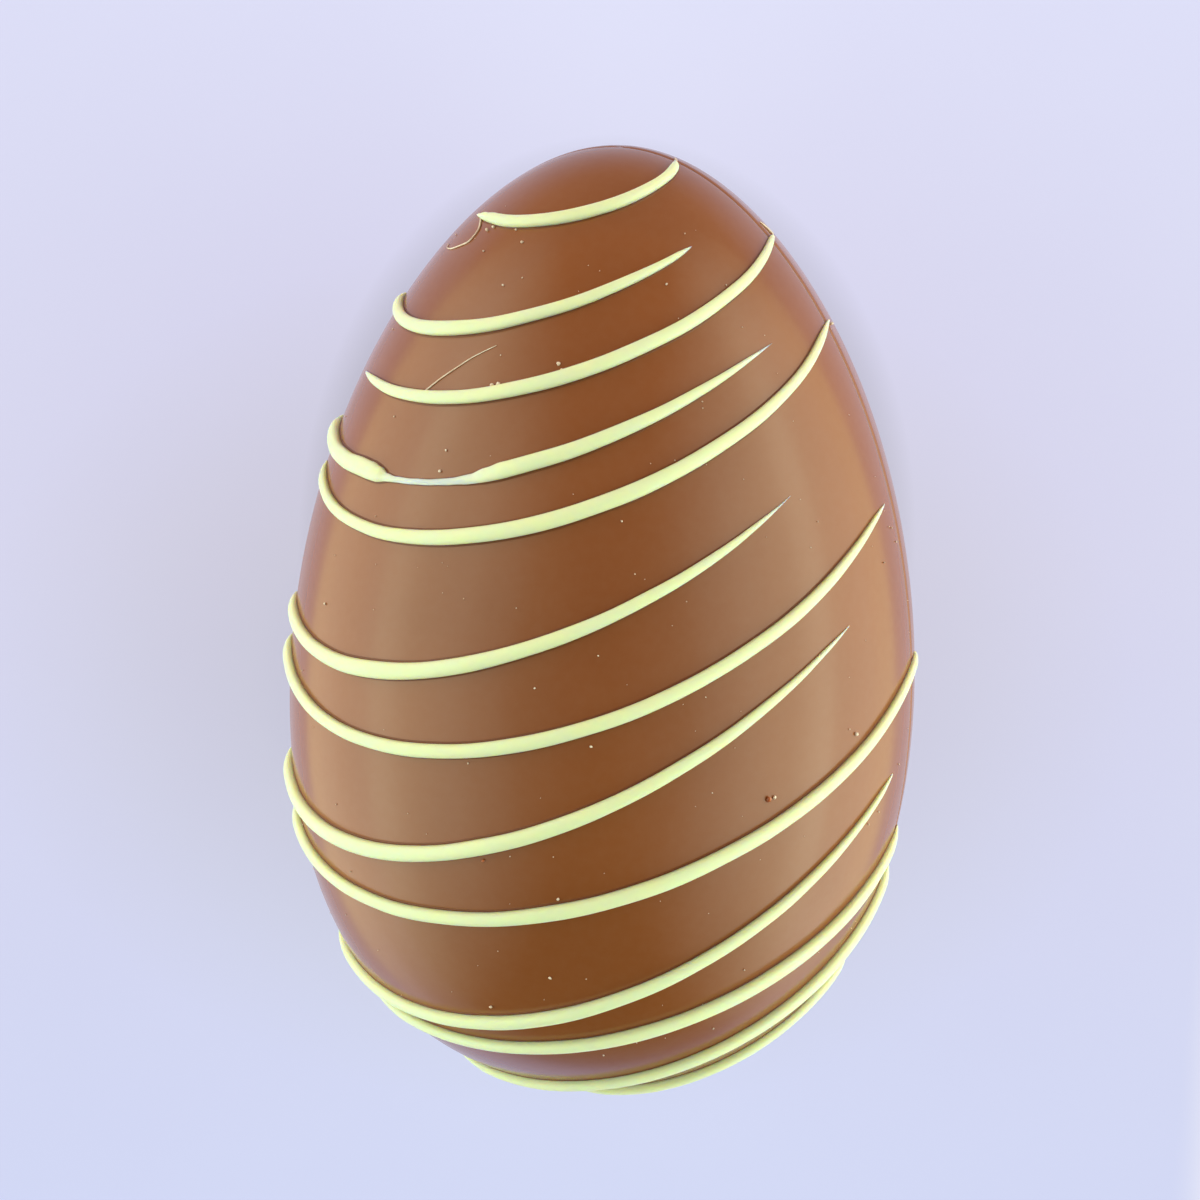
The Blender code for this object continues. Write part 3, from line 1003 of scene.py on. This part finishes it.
# %% One large table
mesh = bpy.data.meshes.new("table")
mesh.from_pydata([(x * TABLE_HALF, y * TABLE_HALF, 0.0)
                  for x, y in ((-1, -1), (1, -1), (1, 1), (-1, 1))], [], [(0, 1, 2, 3)])
table = bpy.data.objects.new("table", mesh)
bpy.context.scene.collection.objects.link(table)

table_top, tree, shader, place = new_finish("table_top")
mottle = add_node(tree, "ShaderNodeTexNoise", Vector=place, Scale=30.0, Detail=4.0).outputs[0]
tree.links.new(
    mix_colours(tree, mottle, TABLE_COLOUR, TABLE_SHADE), shader.inputs["Base Color"])
shader.inputs["Roughness"].default_value = 0.85

# %% The table's glow
CARD_EDGE = 0.118                         # metres aside: the bare table's glow in full
UNDER_EGG = ((0.0, 0.0), (0.052, 0.072))  # middle and half size of the oval under the egg
SHADED_OVAL = ((-0.008, -0.025), (0.052, 0.042))
DARKEST = 0.15                            # share of the light that is left under the egg

aside, along, _ = add_node(tree, "ShaderNodeSeparateXYZ", Vector=place).outputs
beside = stretch(tree, sideways(tree, aside, along), 0.15, 0.60, 0.0, 1.0)
outside = stretch(tree, sum_up(tree, "ABSOLUTE", aside), CARD_HALF, CARD_EDGE, 0.0, 1.0)
side_glow = colour_scale(tree, aside, SIDE_GLOW)
end_glow = colour_scale(tree, along, END_GLOW)
glow = mix_colours(tree, sum_up(tree, "MULTIPLY", beside, outside), end_glow, side_glow)

# the egg keeps the light off the table right under it, and dims it a little around
nearness = on_oval(tree, (aside, along), *UNDER_EGG)
lit = stretch(tree, nearness, 0.30, 1.0, DARKEST * TABLE_POWER, TABLE_POWER)
around = colour_scale(tree, on_oval(tree, (aside, along), *SHADED_OVAL), SHADE)
shaded = add_node(tree, "ShaderNodeVectorMath", {"operation": "MULTIPLY"})
tree.links.new(glow, shaded.inputs[0])
tree.links.new(around, shaded.inputs[1])
tree.links.new(shaded.outputs[0], shader.inputs["Emission Color"])
tree.links.new(lit, shader.inputs["Emission Strength"])
table.data.materials.append(table_top)

# %% [markdown]
# ## Light
#
# Chocolate shows what stands around it. Lamps would leave hard-edged patches in its gloss.
# Food is often lit in a light tent instead: a box of white cloth with a lamp outside each
# side wall. Its walls are bright at the left and the right and dim at the two ends, most of
# all behind the blunt one, and they darken towards the roof, where the camera looks in. A
# world of nodes can say just that. The direction of a ray gives how high it points and how
# far to the side, two ramps give the cloth's colour at each height, and the side share mixes
# them.

# %% A light tent
TENT_POWER = 4.2
LEFT_POWER = 0.92 * TENT_POWER
RIGHT_POWER = 1.12 * TENT_POWER
BLUNT_END_SHARE = 0.05                    # of the end walls' colour, behind the blunt end
SIDE_WALLS = (                            # height (sine of the angle) and the cloth's colour
    (-0.1, (0.86, 0.96, 0.76)), (0.10, (0.86, 0.96, 0.76)), (0.31, (0.600, 0.710, 0.577)),
    (0.54, (0.508, 0.622, 0.518)), (0.74, (0.305, 0.390, 0.332)),
    (0.89, (0.126, 0.155, 0.131)), (1.00, (0.085, 0.060, 0.055)))
END_WALLS = (
    (-0.1, (0.200, 0.105, 0.074)), (0.30, (0.120, 0.055, 0.045)),
    (0.70, (0.100, 0.055, 0.050)), (1.00, (0.098, 0.067, 0.064)))

tent = bpy.data.worlds.new("light_tent")
tent.use_nodes = True
tree = tent.node_tree
ray = add_node(tree, "ShaderNodeTexCoord").outputs["Generated"]
aside, along, height = add_node(tree, "ShaderNodeSeparateXYZ", Vector=ray).outputs
side_share = stretch(tree, sideways(tree, aside, along), 0.15, 0.85, 0.0, 1.0)
end_share = stretch(tree, along, -0.7, 0.7, BLUNT_END_SHARE, 1.0)
ends = mix_colours(
    tree, end_share, (0, 0, 0, 1), colour_scale(tree, height, END_WALLS, "EASE"))
cloth = mix_colours(tree, side_share, ends, colour_scale(tree, height, SIDE_WALLS, "EASE"))
brightness = stretch(tree, aside, -0.6, 0.6, LEFT_POWER, RIGHT_POWER)
background = tree.nodes["Background"]
tree.links.new(cloth, background.inputs["Color"])
tree.links.new(brightness, background.inputs["Strength"])
bpy.context.scene.world = tent

# %% [markdown]
# ## Camera
#
# The camera looks down on the egg from the side of its pointed end, 19 degrees from straight
# above, with a long lens that keeps the outline calm. It is turned a touch, so the egg leans
# by 2 degrees.

# %% Look down on the egg
CAMERA_LEAN = math.radians(19.24)         # from straight above, towards the pointed end
CAMERA_TURN = math.radians(2.03)
CAMERA_DISTANCE = 683.06 * MM
CAMERA_ASIDE = (-0.71 * MM, 3.04 * MM)    # to the right and up in the picture
LENS = 130.0                              # focal length in millimetres
SENSOR_WIDTH = 36.0                       # millimetres

away = Vector((0, math.sin(CAMERA_LEAN), math.cos(CAMERA_LEAN)))
level_right = Vector((1, 0, 0))
level_up = away.cross(level_right)
right = level_right * math.cos(CAMERA_TURN) + level_up * math.sin(CAMERA_TURN)
up = away.cross(right)
stand = EGG_CENTRE + away * CAMERA_DISTANCE + right * CAMERA_ASIDE[0] + up * CAMERA_ASIDE[1]

lens = bpy.data.cameras.new("camera")
lens.lens = LENS
lens.sensor_width = SENSOR_WIDTH
camera = bpy.data.objects.new("camera", lens)
camera.matrix_world = Matrix((
    (right.x, up.x, away.x, stand.x),
    (right.y, up.y, away.y, stand.y),
    (right.z, up.z, away.z, stand.z),
    (0, 0, 0, 1)))
bpy.context.scene.collection.objects.link(camera)
bpy.context.scene.camera = camera
bpy.context.scene.view_settings.view_transform = "Standard"
print("camera at", [round(value, 4) for value in stand])
